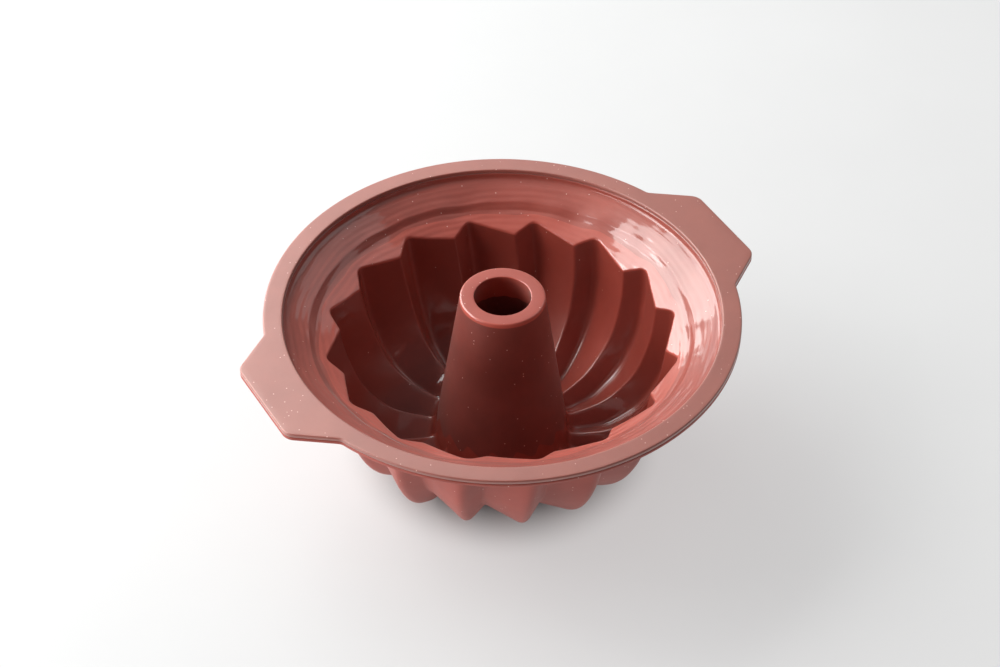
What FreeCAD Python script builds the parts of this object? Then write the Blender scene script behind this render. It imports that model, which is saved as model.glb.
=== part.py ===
import FreeCAD, Part
import math
import os

# Fluted ring-cake pan: a silicone moulding with a steel wire frame sealed inside its rim.
# Millimetres. Z = 0 is the surface the pan stands on, the centre tube's axis is the Z axis,
# and the two grip tabs point along +X and -X.

Vector = FreeCAD.Vector
Z_AXIS = Vector(0, 0, 1)
ORIGIN = Vector(0, 0, 0)

# ---------------------------------------------------------------- driving dimensions
RIM_TOP = 100.0            # height of the rim's flat top
RIM_RADIUS = 132.0         # outer radius of the rim
MOUTH_RADIUS = 121.4       # inner edge of the rim's flat top
RIM_THICKNESS = 4.6        # two silicone layers with the wire frame between them
RIM_EDGE_ROUND = 0.8       # rounding of the rim's top edges
RIM_UNDER_ROUND = 0.5      # rounding of the rim's lower edges
WALL = 2.6                 # silicone wall of the collar and the fluted bowl

HOOP_RADIUS = 126.7        # centre line of the steel hoop in the rim
HOOP_WIRE_RADIUS = 1.5
GRIP_WIRE_RADIUS = 1.3     # thinner wire of the two grip tabs

TAB_REACH = 147.6          # distance from the tube's axis to a grip tab's outer edge
TAB_HALF_WIDTH = 28.6      # half that edge's length, measured to the unrounded corners
TAB_FLARE = 36.0           # degrees between a tab's sides and the X axis
TAB_CORNER_ROUND = 8.5
TAB_ROOT_ROUND = 5.5       # where a tab's sides run into the round rim
TAB_WIRE_INSET = 5.8       # from a tab's edge to its wire's centre line
TAB_WIRE_BEND = 6.0        # bend radius of the wire's centre line

FLUTES = 16
VALLEY_PHASE = 3.7         # degrees from +X to one valley, at the shoulder
LONG_SHARE = 0.715         # share of the pitch taken by a flute's long, gentle face
VALLEY_ROUND = 4.0         # from a valley's sharp corner to where its rounding starts
FOOT_ROUND = 3.0           # the same under the tube, where the flutes are narrow
OUTSIDE_EXTRA_ROUND = 1.2  # added to both on the outside of the wall
ROUND_SHARE = 0.42         # the most of a flute's face that a rounding may take
FLUTE_WALL = 2.3           # shift between the flutes' two skins, a wall of about 2.1

TUBE_TOP = 109.7           # height of the centre tube's top ring
TUBE_TOP_RADIUS = 23.6
TUBE_FOOT_RADIUS = 39.4    # its outer radius at the floor, before the flare
TUBE_FLARE_ROUND = 7.0     # flare where the tube runs out into the floor
FLOOR_HEIGHT = 1.6         # foot of that flare, under the valleys' floor
BORE_TOP_RADIUS = 15.7
BORE_FOOT_RADIUS = 36.2
TUBE_EDGE_ROUND = 1.0      # outer edge of the top ring
BORE_EDGE_ROUND = 0.5      # inner edge of the top ring

# Cooking side of the collar from the rim inwards: radius, depth under the rim's top, and
# the rounding of that corner.
COLLAR = [
    (MOUTH_RADIUS, 0.0, 0.0),
    (120.6, 5.5, 2.0),     # foot of the upright wall
    (115.9, 7.2, 1.0),     # inner edge of the narrow ledge
    (107.0, 12.4, 4.0),    # foot of the gentle cone
    (104.0, 15.9, 3.0),    # foot of the small step
    (85.0, 26.5, 0.0),     # shoulder, carried on into the fluted bowl
]
COLLAR_OUTSIDE_ROUND = 2.0

# Control points of the two curves that shape a flute, from above the shoulder down the
# wall and in under the tube: radius, depth under the rim's top.
RIDGE = [(92.2, 12.0), (90.8, 25.6), (89.4, 39.6), (85.7, 52.6), (81.2, 66.5),
         (73.4, 76.6), (62.3, 87.2), (49.9, 88.8), (22.0, 94.0)]
VALLEY = [(99.6, 12.0), (99.2, 27.0), (97.8, 42.4), (95.1, 57.4), (90.3, 71.1),
          (82.0, 86.0), (70.9, 93.6), (54.6, 102.7), (22.0, 94.0)]
# Clockwise turn of each control point in degrees: the flutes sweep round as they go down.
TWIST = [-1.1, 0.1, 1.1, 1.7, 2.0, 2.0, 2.6, 3.7, 5.8]

PITCH = 360.0 / FLUTES
RIM_MIDDLE = RIM_TOP - RIM_THICKNESS / 2
RIM_UNDERSIDE = RIM_TOP - RIM_THICKNESS
CLEARANCE = 5.0            # how far cutting solids run past what they cut


# ---------------------------------------------------------------- outlines
def rounded_edges(corners, rounds, closed):
    """Edges of a polyline whose corners are rounded by tangent arcs, where round is not 0."""
    count = len(corners)
    starts = []
    ends = []
    edges = []
    for index in range(count):
        corner = corners[index]
        inner = closed or 0 < index < count - 1
        if not inner or rounds[index] == 0:
            starts.append(corner)
            ends.append(corner)
            continue
        back = (corners[index - 1] - corner).normalize()
        ahead = (corners[(index + 1) % count] - corner).normalize()
        half_angle = back.getAngle(ahead) / 2
        cut = rounds[index] / math.tan(half_angle)
        bisector = (back + ahead).normalize()
        middle = corner + bisector * rounds[index] * (1 / math.sin(half_angle) - 1)
        starts.append(corner + back * cut)
        ends.append(corner + ahead * cut)
        edges.append(Part.Arc(starts[-1], middle, ends[-1]).toShape())
    for index in range(count if closed else count - 1):
        edges.append(Part.LineSegment(ends[index], starts[(index + 1) % count]).toShape())
    return Part.sortEdges(edges)[0]


def turned_solid(outline):
    """Solid of revolution about Z from a closed outline of (radius, height, round)."""
    corners = [Vector(radius, 0, height) for radius, height, _ in outline]
    rounds = [corner_round for _, _, corner_round in outline]
    wire = Part.Wire(rounded_edges(corners, rounds, True))
    return Part.Face(wire).revolve(ORIGIN, Z_AXIS, 360)


def offset_path(path, distance):
    """Shift a polyline of (radius, depth) points sideways, away from the cooking side."""
    normals = []
    for (radius, depth), (next_radius, next_depth) in zip(path, path[1:]):
        length = math.hypot(next_radius - radius, next_depth - depth)
        normals.append(((next_depth - depth) / length, (radius - next_radius) / length))
    shifted = []
    for index, (radius, depth) in enumerate(path):
        before = normals[max(index - 1, 0)]
        after = normals[min(index, len(normals) - 1)]
        mitre = 1.0 + before[0] * after[0] + before[1] * after[1]
        shifted.append((radius + distance * (before[0] + after[0]) / mitre,
                        depth + distance * (before[1] + after[1]) / mitre))
    return shifted


# ---------------------------------------------------------------- fluted bowl
def toward(start, end, distance):
    """Point at that distance from start, or at the widest share a rounding may take."""
    span = end - start
    return start + span * min(distance / span.Length, ROUND_SHARE)


def flute_column(curve, shift, turn):
    """Control points of one ridge or valley; both kinds end at the same two heights."""
    path = offset_path(curve, shift)
    path[0] = (curve[0][0] + shift, curve[0][1])
    path[-1] = (curve[-1][0], curve[-1][1] + shift)
    column = []
    for (radius, depth), twist in zip(path, TWIST):
        angle = math.radians(turn - twist)
        column.append(Vector(radius * math.cos(angle), radius * math.sin(angle), RIM_TOP - depth))
    return column


def spline_patch(columns):
    """Cubic down the flute and, across it, straight for two columns or curved for three."""
    across = len(columns) - 1
    spans = len(columns[0]) - 3
    down_knots = [index / spans for index in range(spans + 1)]
    down_mults = [4] + [1] * (spans - 1) + [4]
    surface = Part.BSplineSurface()
    surface.buildFromPolesMultsKnots(columns, [across + 1] * 2, down_mults, [0.0, 1.0],
                                     down_knots, False, False, across, 3)
    return surface.toShape()


def cap_edges(columns, end):
    """One flute's part of the flat outline that closes the bowl's solid at one end."""
    ridge, long_tangent, valley, short_tangent, next_ridge = [column[end] for column in columns]
    corner = Part.BezierCurve()
    corner.setPoles([long_tangent, valley, short_tangent])
    return [Part.LineSegment(ridge, long_tangent).toShape(),
            corner.toShape(),
            Part.LineSegment(short_tangent, next_ridge).toShape()]


def fluted_solid(shift, extra_round):
    """Solid inside the flutes' skin; shift moves the skin away from the cooking side."""
    ridge_phase = VALLEY_PHASE - LONG_SHARE * PITCH
    steps = len(VALLEY) - 1
    lengths = [VALLEY_ROUND + (FOOT_ROUND - VALLEY_ROUND) * step / steps + extra_round
               for step in range(steps + 1)]
    faces = []
    top_edges = []
    foot_edges = []
    for number in range(FLUTES):
        turn = number * PITCH
        valley = flute_column(VALLEY, shift, VALLEY_PHASE + turn)
        ridge = flute_column(RIDGE, shift, ridge_phase + turn)
        next_ridge = flute_column(RIDGE, shift, ridge_phase + turn + PITCH)
        long_tangent = [toward(*ends) for ends in zip(valley, ridge, lengths)]
        short_tangent = [toward(*ends) for ends in zip(valley, next_ridge, lengths)]
        faces.append(spline_patch([ridge, long_tangent]))
        faces.append(spline_patch([long_tangent, valley, short_tangent]))
        faces.append(spline_patch([short_tangent, next_ridge]))
        columns = (ridge, long_tangent, valley, short_tangent, next_ridge)
        top_edges += cap_edges(columns, 0)
        foot_edges += cap_edges(columns, -1)
    for edges in (top_edges, foot_edges):
        faces.append(Part.Face(Part.Wire(edges)))
    shell = Part.makeShell(faces)
    shell.sewShape()
    return Part.makeSolid(shell)


# ---------------------------------------------------------------- collar and tube
def collar_cavity():
    """Everything above the collar's cooking side."""
    outline = [(radius, RIM_TOP - depth, corner_round) for radius, depth, corner_round in COLLAR]
    lowest = outline[-1][1]
    mouth = [(0, lowest, 0), (0, RIM_TOP + CLEARANCE, 0), (MOUTH_RADIUS, RIM_TOP + CLEARANCE, 0)]
    return turned_solid(mouth + outline)


def collar_block():
    """Everything inside the collar's outer side, below the middle of the rim."""
    path = offset_path([(radius, depth) for radius, depth, _ in COLLAR], WALL)
    outline = [(radius, RIM_TOP - depth, COLLAR_OUTSIDE_ROUND) for radius, depth in path[1:-1]]
    end_radius, end_depth = path[-1]
    closing = [(end_radius, RIM_TOP - end_depth, 0), (0, RIM_TOP - end_depth, 0),
               (0, RIM_MIDDLE, 0), (path[0][0], RIM_MIDDLE, 0)]
    return turned_solid(outline + closing)


def tube_solid():
    """Tapered tube without its bore, flared out until it is under the valleys' floor."""
    flare_foot = TUBE_FOOT_RADIUS + TUBE_FLARE_ROUND
    return turned_solid([(0, TUBE_TOP, 0),
                         (TUBE_TOP_RADIUS, TUBE_TOP, TUBE_EDGE_ROUND),
                         (TUBE_FOOT_RADIUS, FLOOR_HEIGHT, TUBE_FLARE_ROUND),
                         (flare_foot, FLOOR_HEIGHT, 0),
                         (flare_foot, -CLEARANCE, 0),
                         (0, -CLEARANCE, 0)])


def tube_bore():
    """Tapered bore, open at both ends, with a rounded upper mouth."""
    draft = (BORE_FOOT_RADIUS - BORE_TOP_RADIUS) / TUBE_TOP
    lip = 2 * BORE_EDGE_ROUND
    return turned_solid([(0, TUBE_TOP + CLEARANCE, 0),
                         (BORE_TOP_RADIUS + lip, TUBE_TOP + CLEARANCE, 0),
                         (BORE_TOP_RADIUS + lip, TUBE_TOP, 0),
                         (BORE_TOP_RADIUS, TUBE_TOP, BORE_EDGE_ROUND),
                         (BORE_FOOT_RADIUS + draft * CLEARANCE, -CLEARANCE, 0),
                         (0, -CLEARANCE, 0)])


# ---------------------------------------------------------------- rim, tabs and wire frame
def tab_corner(inset):
    """Unrounded outer corner of a tab's outline moved in by inset, on its +Y side."""
    flare = math.radians(TAB_FLARE)
    return TAB_REACH - inset, TAB_HALF_WIDTH - inset * (1 - math.sin(flare)) / math.cos(flare)


def tab_side_at(corner, ring_radius):
    """Where the side that leaves that corner meets a circle round the tube's axis."""
    flare = math.radians(TAB_FLARE)
    step_x, step_y = -math.cos(flare), math.sin(flare)
    along = corner[0] * step_x + corner[1] * step_y
    beyond = corner[0] ** 2 + corner[1] ** 2 - ring_radius ** 2
    run = -along - math.sqrt(along ** 2 - beyond)
    return corner[0] + step_x * run, corner[1] + step_y * run


def rim_blank():
    """Flat plate with the outline of the rim and both tabs."""
    plate = Part.makeCylinder(RIM_RADIUS, RIM_THICKNESS, Vector(0, 0, RIM_UNDERSIDE))
    corner = tab_corner(0)
    root = tab_side_at(corner, RIM_RADIUS)
    inner_x = root[0] - CLEARANCE
    inner_y = root[1] + CLEARANCE * math.tan(math.radians(TAB_FLARE))
    outline = [(0, inner_y), (inner_x, inner_y), corner]
    outline += [(x, -y) for x, y in reversed(outline)]
    for side in (1, -1):
        corners = [Vector(side * x, y, RIM_UNDERSIDE) for x, y in outline]
        tab = Part.Face(Part.makePolygon(corners + corners[:1]))
        plate = plate.fuse(tab.extrude(Vector(0, 0, RIM_THICKNESS)))
    plate = plate.removeSplitter()
    for place, corner_round in ((corner, TAB_CORNER_ROUND), (root, TAB_ROOT_ROUND)):
        spots = [Vector(x, y, RIM_MIDDLE) for x in (place[0], -place[0])
                 for y in (place[1], -place[1])]
        edges = [edge for edge in plate.Edges
                 if any(edge.CenterOfMass.distanceToPoint(spot) < 0.01 for spot in spots)]
        plate = plate.makeFillet(corner_round, edges)
    for height, edge_round in ((RIM_TOP, RIM_EDGE_ROUND), (RIM_UNDERSIDE, RIM_UNDER_ROUND)):
        edges = [edge for edge in plate.Edges
                 if abs(edge.BoundBox.ZMin - height) < 0.01 and edge.BoundBox.ZLength < 0.01]
        plate = plate.makeFillet(edge_round, edges)
    return plate


def slab(low, high):
    """Block wider than the pan between two heights."""
    half = TAB_REACH + CLEARANCE
    return Part.makeBox(2 * half, 2 * half, high - low, Vector(-half, -half, low))


def hoop():
    return Part.makeTorus(HOOP_RADIUS, HOOP_WIRE_RADIUS, Vector(0, 0, RIM_MIDDLE), Z_AXIS)


def grip_wire(side, hoop_solid):
    """Wire bent round a tab's outline, its ends shaped to sit against the hoop."""
    corner = tab_corner(TAB_WIRE_INSET)
    foot = tab_side_at(corner, HOOP_RADIUS)
    route = [foot, corner, (corner[0], -corner[1]), (foot[0], -foot[1])]
    points = [Vector(side * x, y, RIM_MIDDLE) for x, y in route]
    path = Part.Wire(rounded_edges(points, [0, TAB_WIRE_BEND, TAB_WIRE_BEND, 0], False))
    section = Part.Wire(Part.makeCircle(GRIP_WIRE_RADIUS, points[0], points[1] - points[0]))
    return path.makePipeShell([section], True, True).cut(hoop_solid)


# ---------------------------------------------------------------- the pieces
def build_pieces():
    cavity = collar_cavity()
    tube = tube_solid()
    frame = {"rim_hoop": hoop()}
    frame["right_grip_wire"] = grip_wire(1, frame["rim_hoop"])
    frame["left_grip_wire"] = grip_wire(-1, frame["rim_hoop"])

    rim = rim_blank().cut(cavity)
    for wire in frame.values():
        rim = rim.cut(wire)
    cover = rim.common(slab(RIM_MIDDLE, RIM_TOP + CLEARANCE))
    mouth_edges = [edge for edge in cover.Edges
                   if abs(edge.BoundBox.ZMin - RIM_TOP) < 0.01
                   and edge.BoundBox.XLength < 2 * MOUTH_RADIUS + 0.1]
    cover = cover.makeFillet(RIM_EDGE_ROUND, mouth_edges)

    outside = collar_block().fuse(fluted_solid(FLUTE_WALL, OUTSIDE_EXTRA_ROUND))
    outside = outside.fuse(tube.common(slab(RIM_MIDDLE - CLEARANCE, TUBE_TOP + CLEARANCE)))
    hollow = cavity.fuse(fluted_solid(0, 0)).cut(tube)
    body = outside.cut(hollow).cut(tube_bore())
    body = body.fuse(rim.common(slab(RIM_UNDERSIDE - CLEARANCE, RIM_MIDDLE)))
    body = body.common(slab(0, TUBE_TOP + CLEARANCE))
    return {"pan_body": body, "rim_cover": cover, **frame}


if __name__ == "__main__":
    os.makedirs("parts", exist_ok=True)
    for name, piece in build_pieces().items():
        solids = piece.Solids
        print(name, "valid", piece.isValid(), "solids", len(solids), "faces", len(piece.Faces),
              "volume", round(piece.Volume), piece.BoundBox)
        piece.exportStep("parts/" + name + ".step")
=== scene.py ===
import bpy
import math
import numpy as np
from mathutils import Matrix, Vector


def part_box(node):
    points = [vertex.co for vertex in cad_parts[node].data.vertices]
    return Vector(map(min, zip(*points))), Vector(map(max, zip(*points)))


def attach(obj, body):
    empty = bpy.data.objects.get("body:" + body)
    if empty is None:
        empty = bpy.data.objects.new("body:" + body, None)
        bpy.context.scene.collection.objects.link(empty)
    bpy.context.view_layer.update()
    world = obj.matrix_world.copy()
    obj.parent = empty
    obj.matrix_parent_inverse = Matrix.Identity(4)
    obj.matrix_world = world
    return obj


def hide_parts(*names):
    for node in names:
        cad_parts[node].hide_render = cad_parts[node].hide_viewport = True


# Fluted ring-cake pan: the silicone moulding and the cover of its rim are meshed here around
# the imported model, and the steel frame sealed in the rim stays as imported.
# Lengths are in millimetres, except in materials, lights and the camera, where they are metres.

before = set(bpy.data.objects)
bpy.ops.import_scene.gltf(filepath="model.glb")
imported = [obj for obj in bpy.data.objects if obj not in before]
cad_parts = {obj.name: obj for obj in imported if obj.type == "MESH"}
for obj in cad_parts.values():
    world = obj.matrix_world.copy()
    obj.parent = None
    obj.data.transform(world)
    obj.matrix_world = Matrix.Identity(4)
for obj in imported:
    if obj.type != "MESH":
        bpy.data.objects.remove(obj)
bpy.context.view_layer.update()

MM = 0.001


def node_corners(node):
    """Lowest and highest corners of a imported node, in millimetres."""
    low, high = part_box(node)
    return np.array(low) / MM, np.array(high) / MM


# ---------------------------------------------------------------- sizes
_, BODY_HIGH = node_corners("pan_body")
COVER_LOW, COVER_HIGH = node_corners("rim_cover")
TUBE_TOP = BODY_HIGH[2]
RIM_TOP = COVER_HIGH[2]
RIM_MIDDLE = COVER_LOW[2]          # where the cover lies on the body
RIM_UNDERSIDE = 2 * RIM_MIDDLE - RIM_TOP
RIM_RADIUS = COVER_HIGH[1]
TAB_REACH = COVER_HIGH[0]

TAB_HALF_WIDTH = 28.6              # half a tab's outer edge, measured to its unrounded corners
TAB_FLARE = math.radians(36)       # between a tab's sides and the X axis
TAB_CORNER_ROUND = 8.5
TAB_ROOT_ROUND = 5.5               # where a tab's sides run into the round rim
RIM_EDGE_ROUND = 0.8
RIM_UNDER_ROUND = 0.7
PARTING_CHAMFER = 0.3              # both layers, where they meet on the rim's edge

# Cooking side of the collar: radius, depth under the rim's top, rounding of the corner.
COLLAR = [(121.4, 0.0, 0.0), (120.6, 5.5, 2.0), (115.9, 7.2, 1.0), (107.0, 12.4, 4.0),
          (104.0, 15.9, 3.0), (85.0, 26.5, 0.0)]
WALL = 2.6
COLLAR_OUTSIDE_ROUND = 2.0
CONE_EDGE = 103.4                  # widest radius of the plain cone that carries the shoulder
CONE_EDGE_OUTSIDE = 104.6

FLUTES = 16
VALLEY_PHASE = 3.7                 # degrees from +X to one valley, at the shoulder
LONG_SHARE = 0.715                 # share of the pitch taken by a flute's long, gentle face
VALLEY_ROUND = 4.0                 # from a valley's sharp corner to where its rounding starts
FOOT_ROUND = 3.0                   # the same under the tube, where the flutes are narrow
OUTSIDE_EXTRA_ROUND = 1.2          # added to both on the outside of the wall
ROUND_SHARE = 0.42                 # the most of a flute's face that a rounding may take
FLUTE_WALL = 2.3                   # shift between the flutes' two skins

# Control points of a ridge and of a valley, as radius and depth under the rim's top, and how
# far each pair is turned round the pan, in degrees.
RIDGE = [(92.2, 12.0), (90.8, 25.6), (89.4, 39.6), (85.7, 52.6), (81.2, 66.5),
         (73.4, 76.6), (62.3, 87.2), (49.9, 88.8), (22.0, 94.0)]
VALLEY = [(99.6, 12.0), (99.2, 27.0), (97.8, 42.4), (95.1, 57.4), (90.3, 71.1),
          (82.0, 86.0), (70.9, 93.6), (54.6, 102.7), (22.0, 94.0)]
TWIST = [-1.1, 0.1, 1.1, 1.7, 2.0, 2.0, 2.6, 3.7, 5.8]
RIDGE_ROUND = 1.1                  # from a ridge's sharp crest to where its rounding starts
RIDGE_OUTSIDE_ROUND = 1.6          # the same on the outside of the wall

TUBE_TOP_RADIUS = 23.6
TUBE_FOOT_RADIUS = 39.4
TUBE_FOOT_HEIGHT = 1.6
BORE_TOP_RADIUS = 15.7
BORE_FOOT_RADIUS = 36.2
TUBE_EDGE_ROUND = 1.0              # outer edge of the tube's top ring
BORE_EDGE_ROUND = 0.5              # inner edge of the tube's top ring

SHOULDER_ROUND = 1.1               # edge between the shoulder and the flutes
SHOULDER_OUTSIDE_ROUND = 2.0
TUBE_JOIN_ROUND = 6.0              # between the flutes and the tube
BORE_JOIN_ROUND = 0.8              # edge of the bore on the underside
FLAT_TOLERANCE = 0.02              # rows this near to the tube's top are its flat ring
TUBE_TOP_BAND = 2.5                # how far down the top ring's own rows reach, on both sides
TUBE_TOP_SPREAD = 0.3              # how much wider the tube is at the foot of that band
BORE_TOP_SPREAD = 0.4
LIP_WIDTH = 2.0                    # flat strip beside the mouth that belongs to the lip's rows

PITCH = 360.0 / FLUTES

# How finely a flute is divided across: half of each ridge's rounding, the long face, the
# valley's rounding and the short face; and how finely its wall is divided down.
ACROSS = {"ridge": 3, "long": 10, "valley": 6, "short": 6}
INSIDE_ROWS = 41
OUTSIDE_ROWS = 34
EDGE_BENDS = 5                     # rows in each rounded edge at the ends of the fluted wall
WALL_SAMPLES = 600                 # places down the flute's curves before they are cut
COLLAR_STEP = 1.1                  # spacing of the collar's rows
UNDER_BENDS = 4                    # rows in the roundings of the rim's edges
RIM_BENDS = 7

# Rows between neighbouring stretches of the moulding's section, and across the cover.
SHOULDER_ROWS = 4
TUBE_ROWS = 10
BORE_ROWS = 6
OUTSIDE_JOIN_ROWS = 2
RIM_UNDER_ROWS = 3
COVER_ROWS = 6

FLUTE_COLUMNS = 2 * ACROSS["ridge"] + ACROSS["long"] + ACROSS["valley"] + ACROSS["short"]
COLUMNS = FLUTES * FLUTE_COLUMNS


# ---------------------------------------------------------------- curves
def smooth_step(low, high, value):
    share = np.clip((value - low) / (high - low), 0, 1)
    return share * share * (3 - 2 * share)


def rounded_line(corners, rounds, step, arc_steps=5):
    """Points along a polyline with rounded corners; step is the spacing on its straights."""
    corners = np.array(corners, dtype=float)
    stretches = [[corners[0]]]
    for index in range(1, len(corners) - 1):
        corner = corners[index]
        back = corners[index - 1] - corner
        ahead = corners[index + 1] - corner
        back /= np.linalg.norm(back)
        ahead /= np.linalg.norm(ahead)
        half = math.acos(np.clip(back @ ahead, -1, 1)) / 2
        cut = rounds[index] / math.tan(half)
        inward = (back + ahead) / np.linalg.norm(back + ahead)
        centre = corner + inward * rounds[index] / math.sin(half)
        start = corner + back * cut - centre
        end = corner + ahead * cut - centre
        turn = math.pi - 2 * half
        shares = np.linspace(0, 1, arc_steps + 1)
        stretches.append([centre + (start * math.sin((1 - share) * turn)
                                    + end * math.sin(share * turn)) / math.sin(turn)
                          for share in shares])
    stretches.append([corners[-1]])
    points = list(stretches[0])
    for stretch in stretches[1:]:
        run = stretch[0] - points[-1]
        count = max(1, round(float(np.linalg.norm(run)) / step))
        start = points[-1]
        points += [start + run * number / count for number in range(1, count)]
        points += stretch
    return np.array(points)


def offset_path(path, distance):
    """Shift a polyline of (radius, depth) points sideways, away from the cooking side."""
    normals = []
    for (radius, depth), (next_radius, next_depth) in zip(path, path[1:]):
        length = math.hypot(next_radius - radius, next_depth - depth)
        normals.append(((next_depth - depth) / length, (radius - next_radius) / length))
    shifted = []
    for index, (radius, depth) in enumerate(path):
        before = normals[max(index - 1, 0)]
        after = normals[min(index, len(normals) - 1)]
        mitre = 1.0 + before[0] * after[0] + before[1] * after[1]
        shifted.append((radius + distance * (before[0] + after[0]) / mitre,
                        depth + distance * (before[1] + after[1]) / mitre))
    return shifted


def spline_basis(count, samples):
    """Weights of a clamped uniform cubic B-spline's control points at evenly spaced places."""
    knots = np.concatenate([[0] * 3, np.linspace(0, 1, count - 2), [1] * 3])
    places = np.linspace(0, 1, samples)
    places[-1] -= 1e-9
    weights = [((knots[k] <= places) & (places < knots[k + 1])).astype(float)
               for k in range(len(knots) - 1)]
    for degree in (1, 2, 3):
        raised = []
        for k in range(len(weights) - 1):
            rise = knots[k + degree] - knots[k]
            fall = knots[k + degree + 1] - knots[k + 1]
            total = np.zeros(samples)
            if rise > 0:
                total += (places - knots[k]) / rise * weights[k]
            if fall > 0:
                total += (knots[k + degree + 1] - places) / fall * weights[k + 1]
            raised.append(total)
        weights = raised
    return np.array(weights).T


# ---------------------------------------------------------------- fluted wall
def flute_controls(curve, shift, turn):
    """Control points of one ridge or valley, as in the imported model."""
    path = offset_path(curve, shift)
    path[0] = (curve[0][0] + shift, curve[0][1])
    path[-1] = (curve[-1][0], curve[-1][1] + shift)
    column = []
    for (radius, depth), twist in zip(path, TWIST):
        angle = math.radians(turn - twist)
        column.append((radius * math.cos(angle), radius * math.sin(angle), RIM_TOP - depth))
    return np.array(column)


def toward(start, end, distances):
    """Points at those distances from start, or at the widest share a rounding may take."""
    span = end - start
    shares = np.minimum(distances / np.linalg.norm(span, axis=1), ROUND_SHARE)
    return start + span * shares[:, None]


def flute_surface(shift, extra_round, ridge_round):
    """One flute, from ridge crest to ridge crest: samples down x columns across x 3."""
    ridge_phase = VALLEY_PHASE - LONG_SHARE * PITCH
    rounds = np.linspace(VALLEY_ROUND, FOOT_ROUND, len(VALLEY)) + extra_round
    crest_rounds = np.full(len(RIDGE), ridge_round)
    valleys = [flute_controls(VALLEY, shift, VALLEY_PHASE + k * PITCH) for k in (-1, 0)]
    ridges = [flute_controls(RIDGE, shift, ridge_phase + k * PITCH) for k in (0, 1, 2)]
    crest_start = [toward(ridges[k], valleys[k], crest_rounds) for k in (0, 1)]
    crest_long = toward(ridges[0], valleys[1], crest_rounds)
    valley_long = toward(valleys[1], ridges[0], rounds)
    valley_short = toward(valleys[1], ridges[1], rounds)

    def bend(start, corner, end, places):
        return [(1 - t) ** 2 * start + 2 * t * (1 - t) * corner + t * t * end for t in places]

    def straight(start, end, places):
        return [start + (end - start) * t for t in places]

    def steps(kind, low=0.0, high=1.0):
        return np.linspace(low, high, ACROSS[kind], endpoint=False)

    next_crest_long = toward(ridges[1], flute_controls(VALLEY, shift, VALLEY_PHASE + PITCH),
                             crest_rounds)
    columns = bend(crest_start[0], ridges[0], crest_long, steps("ridge", 0.5, 1.0))
    columns += straight(crest_long, valley_long, steps("long"))
    columns += bend(valley_long, valleys[1], valley_short, steps("valley"))
    columns += straight(valley_short, crest_start[1], steps("short"))
    columns += bend(crest_start[1], ridges[1], next_crest_long, steps("ridge", 0.0, 0.5))
    basis = spline_basis(len(RIDGE), WALL_SAMPLES)
    return np.stack([basis @ column for column in columns], axis=1)


def crossing(values):
    """Sample number, with its fraction, where each column's value first falls to zero."""
    after = np.argmax(values <= 0, axis=0)
    columns = np.arange(values.shape[1])
    high = values[after - 1, columns]
    low = values[after, columns]
    return after - 1 + high / (high - low)


def line_through(first, second):
    """A straight generator line in the half plane: a point, and its direction up or out."""
    start = np.array(first, dtype=float)
    direction = np.array(second, dtype=float) - start
    return start, direction / np.linalg.norm(direction)


def slide(points, direction, distance):
    """Move points along a generator line's direction, each in its own half plane."""
    radius = np.hypot(points[:, 0], points[:, 1])
    scale = (radius + direction[0] * distance) / radius
    return np.stack([points[:, 0] * scale, points[:, 1] * scale,
                     points[:, 2] + direction[1] * distance], axis=1)


def fluted_rows(surface, top_line, top_round, foot_line, foot_round, count, bends):
    """Rows of points down the wall, cut off and rounded where it meets the two cones."""
    radius = np.hypot(surface[..., 0], surface[..., 1])
    height = surface[..., 2]

    def above(line):
        start, direction = line
        return direction[0] * (height - start[1]) - direction[1] * (radius - start[0])

    lengths = np.concatenate([np.zeros((1, surface.shape[1])),
                              np.cumsum(np.linalg.norm(np.diff(surface, axis=0), axis=2), axis=0)])
    numbers = np.arange(len(surface))
    top_numbers = crossing(above(top_line))
    foot_numbers = crossing(-above(foot_line))
    rows = np.zeros((count + 2 * bends, surface.shape[1], 3))
    corners = np.zeros((2, surface.shape[1], 3))
    for column in range(surface.shape[1]):
        table = lengths[:, column]
        ends = np.interp([top_numbers[column], foot_numbers[column]], numbers, table)
        places = np.linspace(ends[0] + top_round, ends[1] - foot_round, count)
        for axis in range(3):
            values = surface[:, column, axis]
            rows[bends:bends + count, column, axis] = np.interp(places, table, values)
            corners[:, column, axis] = np.interp(ends, table, values)
    top = slide(corners[0], top_line[1], top_round)
    foot = slide(corners[1], foot_line[1], foot_round)
    first = rows[bends].copy()
    last = rows[bends + count - 1].copy()
    for step in range(bends):
        t = step / bends
        rows[step] = (1 - t) ** 2 * top + 2 * t * (1 - t) * corners[0] + t * t * first
        rows[-1 - step] = (1 - t) ** 2 * foot + 2 * t * (1 - t) * corners[1] + t * t * last
    return rows


def all_round(rows):
    """Repeat one flute's rows for every flute."""
    copies = []
    for number in range(FLUTES):
        turn = math.radians(number * PITCH)
        spin = np.array([[math.cos(turn), math.sin(turn), 0],
                         [-math.sin(turn), math.cos(turn), 0],
                         [0, 0, 1]])
        copies.append(rows @ spin)
    return np.concatenate(copies, axis=1)


# ---------------------------------------------------------------- rings and joins
def ring(radius, height, angles):
    radius = np.broadcast_to(radius, angles.shape)
    height = np.broadcast_to(height, angles.shape)
    return np.stack([radius * np.cos(angles), radius * np.sin(angles), height], axis=1)


def polar(row):
    return np.hypot(row[:, 0], row[:, 1]), np.unwrap(np.arctan2(row[:, 1], row[:, 0]))


def near_angles(angles, reference):
    """The same directions, counted in whole turns so that they lie nearest to reference."""
    return angles - 2 * math.pi * np.round((angles - reference).mean() / (2 * math.pi))


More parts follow.
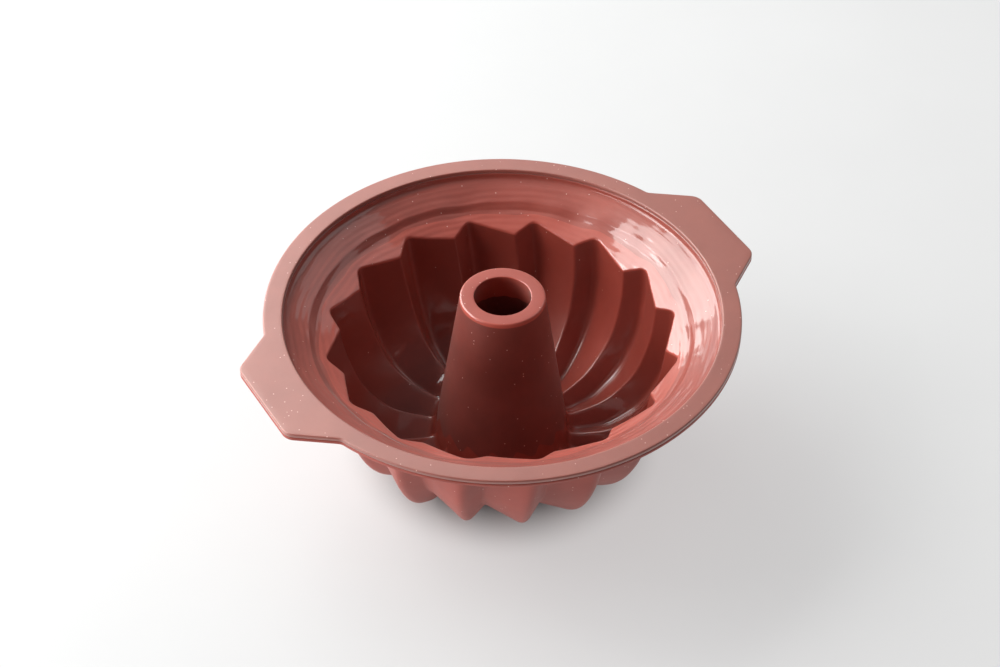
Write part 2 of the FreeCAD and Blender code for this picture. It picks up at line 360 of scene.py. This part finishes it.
def between(first, last, count):
    """Rows strictly between two rows, straight in radius, height and angle."""
    first_radius, first_angles = polar(first)
    last_radius, last_angles = polar(last)
    last_angles = near_angles(last_angles, first_angles)
    rows = []
    for share in np.linspace(0, 1, count + 2)[1:-1]:
        rows.append(ring(first_radius + (last_radius - first_radius) * share,
                         first[:, 2] + (last[:, 2] - first[:, 2]) * share,
                         first_angles + (last_angles - first_angles) * share))
    return rows


def turned_rows(profile, start_angles, end_angles):
    """Rings along a profile of (radius, height), easing from one set of angles to another."""
    end_angles = near_angles(end_angles, start_angles)
    lengths = np.concatenate([[0], np.cumsum(np.linalg.norm(np.diff(profile, axis=0), axis=1))])
    rows = []
    for (radius, height), length in zip(profile, lengths):
        share = smooth_step(0, lengths[-1], length)
        rows.append(ring(radius, height, start_angles + (end_angles - start_angles) * share))
    return rows


# ---------------------------------------------------------------- outline of the rim and tabs
# Points along half of a tab's outer edge, its corner, its side and the bend into the rim.
OUTLINE_POINTS = (8, 9, 7, 7)


def rim_outline(count):
    """Points round the rim and both tabs, with their outward normals, from the +X axis on."""
    quarter = count // 4
    edge, bend, side, root = OUTLINE_POINTS
    flare = np.array([-math.cos(TAB_FLARE), math.sin(TAB_FLARE)])
    normal = np.array([math.sin(TAB_FLARE), math.cos(TAB_FLARE)])
    corner = np.array([TAB_REACH, TAB_HALF_WIDTH])
    cut = TAB_CORNER_ROUND * math.tan((math.pi / 2 - TAB_FLARE) / 2)
    base = corner + normal * TAB_ROOT_ROUND
    along = base @ flare
    reach = RIM_RADIUS + TAB_ROOT_ROUND
    root_centre = base + flare * (-along - math.sqrt(along ** 2 - base @ base + reach ** 2))
    side_start = corner + flare * cut
    side_end = root_centre - normal * TAB_ROOT_ROUND
    bend_centre = side_start - normal * TAB_CORNER_ROUND
    outward = root_centre / np.linalg.norm(root_centre)

    points = []
    for share in np.linspace(0, 1, edge, endpoint=False):
        points.append(((TAB_REACH, (TAB_HALF_WIDTH - cut) * share), (1.0, 0.0)))
    side_direction = math.atan2(normal[1], normal[0])
    for turn in np.linspace(0, side_direction, bend, endpoint=False):
        facing = np.array([math.cos(turn), math.sin(turn)])
        points.append((bend_centre + facing * TAB_CORNER_ROUND, facing))
    for share in np.linspace(0, 1, side, endpoint=False):
        points.append((side_start + (side_end - side_start) * share, normal))
    root_direction = math.atan2(outward[1], outward[0])
    for turn in np.linspace(side_direction, root_direction, root, endpoint=False):
        facing = np.array([math.cos(turn), math.sin(turn)])
        points.append((root_centre - facing * TAB_ROOT_ROUND, facing))
    arc = quarter - len(points)
    for turn in np.linspace(root_direction, math.pi / 2, arc, endpoint=False):
        facing = np.array([math.cos(turn), math.sin(turn)])
        points.append((facing * RIM_RADIUS, facing))
    first = [(np.array(point), np.array(facing)) for point, facing in points]
    top = (np.array([0.0, RIM_RADIUS]), np.array([0.0, 1.0]))
    flip_x = np.array([-1.0, 1.0])
    second = [top] + [(point * flip_x, facing * flip_x) for point, facing in first[:0:-1]]
    half = first + second
    full = half + [(-point, -facing) for point, facing in half]
    return np.array([point for point, _ in full]), np.array([facing for _, facing in full])


def rim_row(outline, facings, inset, height):
    """The rim's outline moved inwards and set at a height."""
    flat = outline - facings * inset
    return np.column_stack([flat, np.full(len(flat), height)])


# ---------------------------------------------------------------- soft unevenness
# Sets of waves round the collar: height, seed, fewest and most waves, how many are summed.
BROAD_WAVES = (0.75, 3, 5, 13, 5)
STEP_WAVES = (0.40, 8, 14, 30, 6)
DRIFT_WAVES = (1.0, 21, 2, 9, 5)

# Radii over which each of them fades in and out again.
BROAD_ZONE = ((93, 104), (112, 119.5))
STEP_ZONE = ((98, 105), (107, 113))
RIPPLE_ZONE = ((86, 92), (113, 119))

RIPPLE_LENGTH = 8.5
RIPPLE_HEIGHT = 0.08
RIPPLE_DRIFT = 2.6                 # how far the ripples wander across the collar, in radians


def waves(angles, height, seed, low, high, count):
    """Smooth uneven curve round the pan: a sum of whole-number waves, scaled by height."""
    draws = np.random.default_rng(seed)
    total = np.zeros(np.shape(angles))
    for _ in range(count):
        total += draws.uniform(0.4, 1.0) * np.sin(draws.integers(low, high) * angles
                                                  + draws.uniform(0, 2 * math.pi))
    return height * total / math.sqrt(count)


def zone(radius, fade_in, fade_out):
    """1 between two radii, fading to 0 over the given spans of radius on either side."""
    return smooth_step(*fade_in, radius) * (1 - smooth_step(*fade_out, radius))


def uneven_collar(points):
    """Let the collar's rings wander up and down a little, so that its reflections are uneven."""
    radius = np.hypot(points[:, 0], points[:, 1])
    angles = np.arctan2(points[:, 1], points[:, 0])
    drift = waves(angles, *DRIFT_WAVES)
    rings = np.sin(2 * math.pi * radius / RIPPLE_LENGTH + RIPPLE_DRIFT * drift)
    lift = waves(angles, *BROAD_WAVES) * zone(radius, *BROAD_ZONE)
    lift += waves(angles, *STEP_WAVES) * zone(radius, *STEP_ZONE)
    lift += RIPPLE_HEIGHT * rings * zone(radius, *RIPPLE_ZONE)
    points[:, 2] += lift
    return points


# ---------------------------------------------------------------- meshes
def new_mesh(name, rows, materials, bands):
    """Closed ring of rows as a mesh; bands gives each row's material number."""
    rows = np.array(rows)
    row_count, column_count = rows.shape[:2]
    points = rows.reshape(-1, 3)
    row_numbers = np.arange(row_count)[:, None]
    column_numbers = np.arange(column_count)[None, :]
    next_row = (row_numbers + 1) % row_count
    next_column = (column_numbers + 1) % column_count
    corners = [row_numbers * column_count + column_numbers,
               row_numbers * column_count + next_column,
               next_row * column_count + next_column,
               next_row * column_count + column_numbers]
    faces = np.stack([np.broadcast_to(c, (row_count, column_count)) for c in corners], axis=2)
    faces = faces.reshape(-1, 4)
    diagonal = np.cross(points[faces[:, 2]] - points[faces[:, 0]],
                        points[faces[:, 3]] - points[faces[:, 1]])
    if (diagonal * points[faces].mean(axis=1)).sum() < 0:
        faces = faces[:, ::-1]
    mesh = bpy.data.meshes.new(name)
    mesh.from_pydata((points * MM).tolist(), [], faces.tolist())
    mesh.polygons.foreach_set("use_smooth", np.ones(len(faces), dtype=bool))
    mesh.polygons.foreach_set("material_index", np.repeat(np.array(bands), column_count))
    for material in materials:
        mesh.materials.append(material)
    mesh.validate()
    mesh.update()
    piece = bpy.data.objects.new(name, mesh)
    bpy.context.scene.collection.objects.link(piece)
    return piece


# ---------------------------------------------------------------- silicone moulding
# Numbers of the moulding's five finishes: collar; shoulder, its tones painted lighter as lit;
# flutes and tube, their tones painted darker as shade; outside.
UPPER, GLOSS_LIT, DEEP_SHADED, TUBE, SATIN = range(5)


def collar_profile(shift, outside_round):
    """Rounded collar outline of (radius, height), from the rim inwards."""
    if shift == 0:
        corners = [(radius, RIM_TOP - depth) for radius, depth, _ in COLLAR]
        rounds = [corner_round for _, _, corner_round in COLLAR]
    else:
        path = offset_path([(radius, depth) for radius, depth, _ in COLLAR], shift)
        corners = [(radius, RIM_TOP - depth) for radius, depth in path]
        rounds = [outside_round] * len(corners)
    return corners, rounds


def collar_rings(shift, edge_radius, top_height):
    """Profile points from top_height down to the ring where the plain cone starts."""
    corners, rounds = collar_profile(shift, COLLAR_OUTSIDE_ROUND)
    (upper_radius, upper_height), (lower_radius, lower_height) = corners[0], corners[1]
    share = (upper_height - top_height) / (upper_height - lower_height)
    corners[0] = (upper_radius + (lower_radius - upper_radius) * share, top_height)
    (outer_radius, outer_height), (inner_radius, inner_height) = corners[-2], corners[-1]
    share = (outer_radius - edge_radius) / (outer_radius - inner_radius)
    corners[-1] = (edge_radius, outer_height + (inner_height - outer_height) * share)
    return rounded_line(corners, rounds, step=COLLAR_STEP)


def cone_line(shift):
    """The shoulder's cone as a line, its direction up and outwards."""
    corners, _ = collar_profile(shift, 0)
    return line_through(corners[-1], corners[-2])


def tube_line():
    return line_through((TUBE_FOOT_RADIUS, TUBE_FOOT_HEIGHT), (TUBE_TOP_RADIUS, TUBE_TOP))


def bore_line():
    return line_through((BORE_FOOT_RADIUS, 0), (BORE_TOP_RADIUS, TUBE_TOP))


def moulding_rows(outline, facings):
    """All rows of the moulding, in one closed loop round its section."""
    inside = all_round(fluted_rows(flute_surface(0, 0, RIDGE_ROUND),
                                   cone_line(0), SHOULDER_ROUND,
                                   tube_line(), TUBE_JOIN_ROUND, INSIDE_ROWS, EDGE_BENDS))
    outside = all_round(fluted_rows(flute_surface(FLUTE_WALL, OUTSIDE_EXTRA_ROUND,
                                                  RIDGE_OUTSIDE_ROUND),
                                    cone_line(WALL), SHOULDER_OUTSIDE_ROUND,
                                    bore_line(), BORE_JOIN_ROUND, OUTSIDE_ROWS, EDGE_BENDS))
    outside[..., 2] = np.maximum(outside[..., 2], 0)
    outside = outside[::-1]
    _, shoulder_angles = polar(inside[0])
    _, outline_angles = polar(outline)
    shift = int(np.argmin(np.abs(np.angle(np.exp(1j * (outline_angles - shoulder_angles[0]))))))
    outline = np.roll(outline, -shift, axis=0)
    facings = np.roll(facings, -shift, axis=0)
    _, rim_angles = polar(outline)
    even_angles = np.radians(np.degrees(shoulder_angles[0]) + np.arange(COLUMNS) * 360 / COLUMNS)

    rows = []
    bands = []

    def add(new_rows, band):
        rows.extend(new_rows)
        bands.extend([band] * len(new_rows))

    collar = collar_rings(0, CONE_EDGE, RIM_MIDDLE)
    add(turned_rows(collar, rim_angles, shoulder_angles), UPPER)
    # The shoulder's rows take tones painted lighter, as lit; the flutes' rows take tones painted
    # darker, as shade.
    add(between(rows[-1], inside[0], SHOULDER_ROWS), GLOSS_LIT)
    add(list(inside[:EDGE_BENDS]), GLOSS_LIT)
    add(list(inside[EDGE_BENDS:]), DEEP_SHADED)
    band_foot = TUBE_TOP - TUBE_TOP_BAND
    top = rounded_line([(TUBE_TOP_RADIUS + TUBE_TOP_SPREAD, band_foot),
                        (TUBE_TOP_RADIUS, TUBE_TOP), (BORE_TOP_RADIUS, TUBE_TOP),
                        (BORE_TOP_RADIUS + BORE_TOP_SPREAD, band_foot)],
                       [0, TUBE_EDGE_ROUND, BORE_EDGE_ROUND, 0], step=2.0, arc_steps=6)
    top_rows = turned_rows(top, even_angles, even_angles)
    # The tube and its bore take tones painted darker, as shade; the top ring's rounded edges take
    # the shoulder's tones painted lighter, as lit.
    add(between(rows[-1], top_rows[0], TUBE_ROWS), TUBE)
    for row in top_rows:
        add([row], SATIN if row[0][2] > TUBE_TOP - FLAT_TOLERANCE else GLOSS_LIT)
    add(between(rows[-1], outside[0], BORE_ROWS), TUBE)
    add(list(outside), SATIN)
    _, outer_angles = polar(outside[-1])
    under = collar_rings(WALL, CONE_EDGE_OUTSIDE, RIM_UNDERSIDE)[::-1]
    under_rows = turned_rows(under, outer_angles, rim_angles)
    add(between(rows[-1], under_rows[0], OUTSIDE_JOIN_ROWS), SATIN)
    add(under_rows, SATIN)

    under_edge = [rim_row(outline, facings, RIM_UNDER_ROUND * (1 - math.sin(turn)),
                          RIM_UNDERSIDE + RIM_UNDER_ROUND * (1 - math.cos(turn)))
                  for turn in np.linspace(0, math.pi / 2, UNDER_BENDS)]
    add(between(rows[-1], under_edge[0], RIM_UNDER_ROWS), SATIN)
    add(under_edge, SATIN)
    add([rim_row(outline, facings, 0, RIM_MIDDLE - PARTING_CHAMFER),
         rim_row(outline, facings, PARTING_CHAMFER, RIM_MIDDLE)], SATIN)
    return rows, bands, outline, facings, rim_angles


def moulding(outline, facings, materials):
    """The moulding's mesh, and the rim's outline turned to start in step with the flutes."""
    rows, bands, outline, facings, rim_angles = moulding_rows(outline, facings)
    rows = [uneven_collar(row) for row in rows]
    piece = new_mesh("pan_moulding", rows, materials, bands)
    return piece, outline, facings, rim_angles


# ---------------------------------------------------------------- rim cover
def cover(outline, facings, rim_angles, material):
    """The upper silicone layer over the rim and both tabs."""
    mouth = COLLAR[0][0]
    lower_radius, lower_depth, _ = COLLAR[1]
    slope = (mouth - lower_radius) / lower_depth
    wall_foot = mouth - slope * (RIM_TOP - RIM_MIDDLE)
    lip = rounded_line([(wall_foot, RIM_MIDDLE), (mouth, RIM_TOP), (mouth + LIP_WIDTH, RIM_TOP)],
                       [0, RIM_EDGE_ROUND, 0], step=1.0, arc_steps=6)
    rows = turned_rows(lip, rim_angles, rim_angles)

    edge = [rim_row(outline, facings, RIM_EDGE_ROUND * (1 - math.sin(turn)),
                    RIM_TOP - RIM_EDGE_ROUND * (1 - math.cos(turn)))
            for turn in np.linspace(0, math.pi / 2, RIM_BENDS)]
    rows += between(rows[-1], edge[0], COVER_ROWS)
    rows += edge
    rows += [rim_row(outline, facings, 0, RIM_MIDDLE + PARTING_CHAMFER),
             rim_row(outline, facings, PARTING_CHAMFER, RIM_MIDDLE)]
    return new_mesh("rim_cover_skin", rows, [material], [0] * len(rows))


# ---------------------------------------------------------------- materials
def new_material(name):
    material = bpy.data.materials.new(name)
    material.use_nodes = True
    nodes = material.node_tree.nodes
    nodes.clear()
    output = nodes.new("ShaderNodeOutputMaterial")
    shader = nodes.new("ShaderNodeBsdfPrincipled")
    material.node_tree.links.new(shader.outputs["BSDF"], output.inputs["Surface"])
    return material, shader


def noise(material, scale, detail, roughness=0.5):
    """Noise texture in the pan's own frame; scale is in features per metre."""
    nodes = material.node_tree.nodes
    place = nodes.get("Place") or nodes.new("ShaderNodeTexCoord")
    place.name = "Place"
    texture = nodes.new("ShaderNodeTexNoise")
    texture.inputs["Scale"].default_value = scale
    texture.inputs["Detail"].default_value = detail
    texture.inputs["Roughness"].default_value = roughness
    material.node_tree.links.new(place.outputs["Object"], texture.inputs["Vector"])
    return texture


def fine_rings(material):
    """Faint wandering rings round the pan's axis, which make its reflections streaky."""
    nodes = material.node_tree.nodes
    texture = nodes.new("ShaderNodeTexWave")
    texture.wave_type = "RINGS"
    texture.rings_direction = "Z"
    # The node draws one ring for every pi / 10 of scaled distance.
    texture.inputs["Scale"].default_value = math.pi / (10 * RING_SPACING)
    texture.inputs["Distortion"].default_value = RING_WANDER
    texture.inputs["Detail"].default_value = 2
    texture.inputs["Detail Scale"].default_value = RING_WANDER_SCALE
    material.node_tree.links.new(nodes["Place"].outputs["Object"], texture.inputs["Vector"])
    return texture


def ramp(material, source, stops):
    """Colour ramp over a value; stops are (place, colour)."""
    node = material.node_tree.nodes.new("ShaderNodeValToRGB")
    elements = node.color_ramp.elements
    while len(elements) < len(stops):
        elements.new(0.5)
    for element, (place, colour) in zip(elements, stops):
        element.position = place
        element.color = (*colour, 1.0)
    material.node_tree.links.new(source, node.inputs["Fac"])
    return node.outputs["Color"]


def value_range(material, source, low, high):
    """Map a 0 to 1 value onto low to high."""
    node = material.node_tree.nodes.new("ShaderNodeMapRange")
    node.inputs["To Min"].default_value = low
    node.inputs["To Max"].default_value = high
    material.node_tree.links.new(source, node.inputs["Value"])
    return node.outputs["Result"]


def bump(material, shader, layers):
    """Chain of bumps in the surface and its gloss coat; layers are (height, strength, metres)."""
    nodes = material.node_tree.nodes
    links = material.node_tree.links
    previous = None
    for source, strength, distance in layers:
        node = nodes.new("ShaderNodeBump")
        node.inputs["Strength"].default_value = strength
        node.inputs["Distance"].default_value = distance
        links.new(source, node.inputs["Height"])
        if previous is not None:
            links.new(previous, node.inputs["Normal"])
        previous = node.outputs["Normal"]
    links.new(previous, shader.inputs["Normal"])
    links.new(previous, shader.inputs["Coat Normal"])


def pale_specks(material, share):
    """1 on small round specks, in that share of the speck cells, and 0 elsewhere."""
    nodes = material.node_tree.nodes
    links = material.node_tree.links
    dust = nodes.new("ShaderNodeTexVoronoi")
    dust.inputs["Scale"].default_value = SPECK_SCALE
    links.new(nodes["Place"].outputs["Object"], dust.inputs["Vector"])
    spots = ramp(material, dust.outputs["Distance"],
                 [(0.0, (1, 1, 1)), (SPECK_CORE, (1, 1, 1)), (SPECK_EDGE, (0, 0, 0))])
    draw = nodes.new("ShaderNodeSeparateColor")
    links.new(dust.outputs["Color"], draw.inputs["Color"])
    rare = nodes.new("ShaderNodeMath")
    rare.operation = "GREATER_THAN"
    rare.inputs[1].default_value = 1.0 - share
    links.new(draw.outputs["Red"], rare.inputs[0])
    both = nodes.new("ShaderNodeMath")
    both.operation = "MULTIPLY"
    links.new(spots, both.inputs[0])
    links.new(rare.outputs[0], both.inputs[1])
    return both.outputs[0]


def silicone(name, tones, roughness, coat, sheen, grain, ripple, specks, rings=0.0):
    """Terracotta silicone; tones run from the darkest to the palest mottling."""
    material, shader = new_material(name)
    links = material.node_tree.links
    nodes = material.node_tree.nodes
    mottling = noise(material, scale=34, detail=4, roughness=0.6)
    colour = ramp(material, mottling.outputs["Fac"], list(zip(TONE_PLACES, tones)))
    mix = nodes.new("ShaderNodeMix")
    mix.data_type = "RGBA"
    links.new(pale_specks(material, specks), mix.inputs["Factor"])
    links.new(colour, mix.inputs["A"])
    mix.inputs["B"].default_value = SPECK_COLOUR
    links.new(mix.outputs["Result"], shader.inputs["Base Color"])
    patches = noise(material, scale=60, detail=3)
    links.new(value_range(material, patches.outputs["Fac"], *roughness), shader.inputs["Roughness"])
    shader.inputs["IOR"].default_value = 1.45
    shader.inputs["Specular IOR Level"].default_value = 0.8
    shader.inputs["Specular Tint"].default_value = VEIL_TINT
    coat_weight, coat_roughness = coat
    shader.inputs["Coat Weight"].default_value = coat_weight
    shader.inputs["Coat Roughness"].default_value = coat_roughness
    shader.inputs["Sheen Weight"].default_value = sheen
    shader.inputs["Sheen Roughness"].default_value = 0.5
    shader.inputs["Sheen Tint"].default_value = VEIL_TINT
    shader.inputs["Subsurface Weight"].default_value = 0.12
    shader.inputs["Subsurface Radius"].default_value = (1.0, 0.3, 0.2)
    shader.inputs["Subsurface Scale"].default_value = 0.003
    fine = noise(material, scale=1800, detail=2)
    slow = noise(material, scale=42, detail=2)
    layers = [(slow.outputs["Fac"], 1.0, ripple), (fine.outputs["Fac"], 1.0, grain)]
    if rings > 0:
        layers.append((fine_rings(material).outputs["Fac"], 1.0, rings))
    bump(material, shader, layers)
    return material


# Base colours from the darkest to the palest mottling, in linear light.
COLLAR_TONES = [(0.32, 0.049, 0.031), (0.36, 0.056, 0.036), (0.40, 0.066, 0.042)]
# Painted light: the shoulder's tones are lighter than the collar's, as where light falls on it.
SHOULDER_LIT_TONES = [(0.43, 0.064, 0.041), (0.47, 0.073, 0.046), (0.51, 0.084, 0.053)]
# Painted shade: the flutes' tones are darker than the collar's, as shade in the hollow.
FLUTE_SHADED_TONES = [(0.27, 0.040, 0.026), (0.30, 0.046, 0.030), (0.33, 0.054, 0.036)]
# Painted shade: the tube's tones are darker still, as shade on the tube and in its bore.
TUBE_SHADED_TONES = [(0.16, 0.029, 0.021), (0.19, 0.034, 0.024), (0.22, 0.040, 0.029)]
OUTSIDE_TONES = [(0.33, 0.050, 0.033), (0.37, 0.057, 0.038), (0.41, 0.066, 0.044)]
COVER_TONES = [(0.29, 0.059, 0.037), (0.32, 0.068, 0.044), (0.35, 0.078, 0.050)]
TONE_PLACES = (0.3, 0.52, 0.74)    # where the three tones stand in the mottling's noise
VEIL_TINT = (1.0, 0.97, 0.92, 1.0)  # of the reflections under the coat, and of the sheen
SPECK_COLOUR = (0.72, 0.42, 0.36, 1)
SPECK_SCALE = 380                  # speck cells per metre
SPECK_CORE = 0.10                  # radius of a speck and of its soft edge, in cells
SPECK_EDGE = 0.15
RING_SPACING = 0.0034              # metres between the fine rings of collar and shoulder
RING_WANDER = 7.0                  # how far they wander, in radians
RING_WANDER_SCALE = 0.22           # size of the wandering's noise, against that of the rings

# Each silicone finish: tones, painted lighter as lit on the shoulder and darker as shade in the
# flutes and on the tube; range of roughness; weight and roughness of its gloss coat; sheen;
# heights of grain, ripple and rings in metres; share of cells with a pale speck.
FINISHES = {
    "silicone_collar": dict(tones=COLLAR_TONES, roughness=(0.42, 0.52), coat=(1.0, 0.03),
                            sheen=0.15, grain=0.00001, ripple=0.0004, specks=0.08,
                            rings=0.00009),
    "silicone_shoulder": dict(tones=SHOULDER_LIT_TONES, roughness=(0.42, 0.52), coat=(1.0, 0.03),
                              sheen=0.15, grain=0.00001, ripple=0.0004, specks=0.08,
                              rings=0.00009),
    "silicone_flutes": dict(tones=FLUTE_SHADED_TONES, roughness=(0.38, 0.48), coat=(1.0, 0.025),
                            sheen=0.0, grain=0.000006, ripple=0.0003, specks=0.03),
    "silicone_tube": dict(tones=TUBE_SHADED_TONES, roughness=(0.42, 0.52), coat=(0.2, 0.25),
                          sheen=0.05, grain=0.00003, ripple=0.0003, specks=0.15),
    "silicone_outside": dict(tones=OUTSIDE_TONES, roughness=(0.42, 0.52), coat=(0.0, 0.4),
                             sheen=0.08, grain=0.00003, ripple=0.0003, specks=0.12),
    "silicone_matt": dict(tones=COVER_TONES, roughness=(0.38, 0.48), coat=(1.0, 0.5),
                          sheen=0.30, grain=0.00003, ripple=0.0002, specks=0.20),
}

STEEL_TONES = [(0.3, (0.42, 0.42, 0.43)), (0.7, (0.62, 0.62, 0.63))]
STEEL_ROUGHNESS = (0.25, 0.42)


def frame_steel():
    """Bright steel wire with a fine grain and small changes of sheen."""
    material, shader = new_material("frame_steel")
    links = material.node_tree.links
    shader.inputs["Metallic"].default_value = 1.0
    streaks = noise(material, scale=900, detail=3, roughness=0.7)
    tone = ramp(material, streaks.outputs["Fac"], STEEL_TONES)
    links.new(tone, shader.inputs["Base Color"])
    links.new(value_range(material, streaks.outputs["Fac"], *STEEL_ROUGHNESS),
              shader.inputs["Roughness"])
    bump(material, shader, [(streaks.outputs["Fac"], 0.5, 0.00004)])
    return material


# A faint painted glow keeps the shadows on the pale table top from going too dark; it fades in
# between these two distances from the pan's axis, in metres, leaving painted shade round the pan's
# foot.
FLOOR_GLOW = 0.50
GLOW_STARTS = 0.045
GLOW_FULL = 0.095
FLOOR_TONES = [(0.3, (0.30, 0.29, 0.29)), (0.7, (0.33, 0.32, 0.318))]


def floor_material():
    """Pale matt table top with the faintest clouding, and a painted glow that fades out towards the
    pan.
    """
    material, shader = new_material("table_top")
    clouds = noise(material, scale=3, detail=5, roughness=0.6)
    tone = ramp(material, clouds.outputs["Fac"], FLOOR_TONES)
    material.node_tree.links.new(tone, shader.inputs["Base Color"])
    shader.inputs["Roughness"].default_value = 0.6
    shader.inputs["Specular IOR Level"].default_value = 0.2
    shader.inputs["Emission Color"].default_value = (1, 1, 1, 1)
    nodes = material.node_tree.nodes
    links = material.node_tree.links
    reach = nodes.new("ShaderNodeVectorMath")
    reach.operation = "LENGTH"
    links.new(nodes["Place"].outputs["Object"], reach.inputs[0])
    glow = nodes.new("ShaderNodeMapRange")
    glow.interpolation_type = "SMOOTHSTEP"
    glow.inputs["From Min"].default_value = GLOW_STARTS
    glow.inputs["From Max"].default_value = GLOW_FULL
    glow.inputs["To Max"].default_value = FLOOR_GLOW
    links.new(reach.outputs["Value"], glow.inputs["Value"])
    links.new(glow.outputs["Result"], shader.inputs["Emission Strength"])
    return material


# ---------------------------------------------------------------- stage, lights and camera
CAMERA_TARGET = Vector((-0.0057, -0.0073, 0.0900))
CAMERA_AZIMUTH = math.radians(-120.23)
CAMERA_ELEVATION = math.radians(42.79)
CAMERA_DISTANCE = 1.4146
CAMERA_ROLL = math.radians(0.50)
CAMERA_LENS = 92.3
SENSOR_WIDTH = 36.0

# Name, azimuth and elevation in degrees, distance, width and height in metres, power, colour.
# Azimuths are counted from the camera's right, anticlockwise.
WHITE = (1, 1, 1)
SOFTBOXES = [("window", 143, 34, 1.2, 1.1, 1.1, 23, (0.92, 1.0, 0.99)),
             ("upper_left", 182, 34, 1.2, 0.6, 0.6, 8.0, WHITE),
             ("low_left", 206, 5, 1.2, 0.8, 0.32, 6.5, WHITE),
             ("behind", 100, 38, 1.2, 0.6, 0.5, 1.9, WHITE),
             ("overhead", 0, 84, 1.5, 1.6, 1.6, 1.5, WHITE),
             ("side_fill", 30, 40, 1.2, 1.0, 1.0, 2.2, WHITE)]
FLOOR_SIZE = 6.0                   # half of the table top's side, in metres
SKY_COLOUR = (0.95, 0.97, 1.0, 1)
SKY_STRENGTH = 0.08


def direction(azimuth, elevation):
    return Vector((math.cos(elevation) * math.cos(azimuth),
                   math.cos(elevation) * math.sin(azimuth),
                   math.sin(elevation)))


def look(thing, place, target, roll=0.0):
    """Stand a camera or light at place, looking at target."""
    turn = (target - place).to_track_quat("-Z", "Y").to_matrix().to_4x4()
    thing.matrix_world = Matrix.Translation(place) @ turn @ Matrix.Rotation(roll, 4, "Z")


def add_camera():
    data = bpy.data.cameras.new("camera")
    data.lens = CAMERA_LENS
    data.sensor_width = SENSOR_WIDTH
    data.clip_start = 0.01
    camera = bpy.data.objects.new("camera", data)
    bpy.context.scene.collection.objects.link(camera)
    place = CAMERA_TARGET + direction(CAMERA_AZIMUTH, CAMERA_ELEVATION) * CAMERA_DISTANCE
    look(camera, place, CAMERA_TARGET, CAMERA_ROLL)
    bpy.context.scene.camera = camera


def add_softbox(name, azimuth, elevation, distance, width, height, power, colour):
    """Rectangular light, turned towards the middle of the rim."""
    data = bpy.data.lights.new(name, "AREA")
    data.shape = "RECTANGLE"
    data.size = width
    data.size_y = height
    data.energy = power
    data.color = colour
    light = bpy.data.objects.new(name, data)
    bpy.context.scene.collection.objects.link(light)
    target = Vector((0, 0, RIM_TOP * MM))
    turned = CAMERA_AZIMUTH + math.pi / 2 + math.radians(azimuth)
    look(light, target + direction(turned, math.radians(elevation)) * distance, target)


def add_floor():
    size = FLOOR_SIZE
    mesh = bpy.data.meshes.new("floor")
    mesh.from_pydata([(-size, -size, 0), (size, -size, 0), (size, size, 0), (-size, size, 0)],
                     [], [(0, 1, 2, 3)])
    mesh.materials.append(floor_material())
    floor = bpy.data.objects.new("floor", mesh)
    bpy.context.scene.collection.objects.link(floor)


def add_world():
    world = bpy.data.worlds.new("studio")
    world.use_nodes = True
    background = world.node_tree.nodes["Background"]
    background.inputs["Color"].default_value = SKY_COLOUR
    background.inputs["Strength"].default_value = SKY_STRENGTH
    bpy.context.scene.world = world
    bpy.context.scene.view_settings.view_transform = "Standard"


# ---------------------------------------------------------------- assembly
def main():
    add_camera()
    add_floor()
    add_world()
    for softbox in SOFTBOXES:
        add_softbox(*softbox)

    finishes = {name: silicone(name, **finish) for name, finish in FINISHES.items()}
    moulding_finishes = [finishes["silicone_" + part]
                         for part in ("collar", "shoulder", "flutes", "tube", "outside")]
    outline, facings = rim_outline(COLUMNS)
    body, outline, facings, rim_angles = moulding(outline, facings, moulding_finishes)
    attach(body, "root")
    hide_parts("pan_body")

    skin = cover(outline, facings, rim_angles, finishes["silicone_matt"])
    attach(skin, "root")
    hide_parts("rim_cover")

    steel = frame_steel()
    for node in ("rim_hoop", "right_grip_wire", "left_grip_wire"):
        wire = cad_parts[node]
        for slot in wire.material_slots:
            slot.material = steel


main()
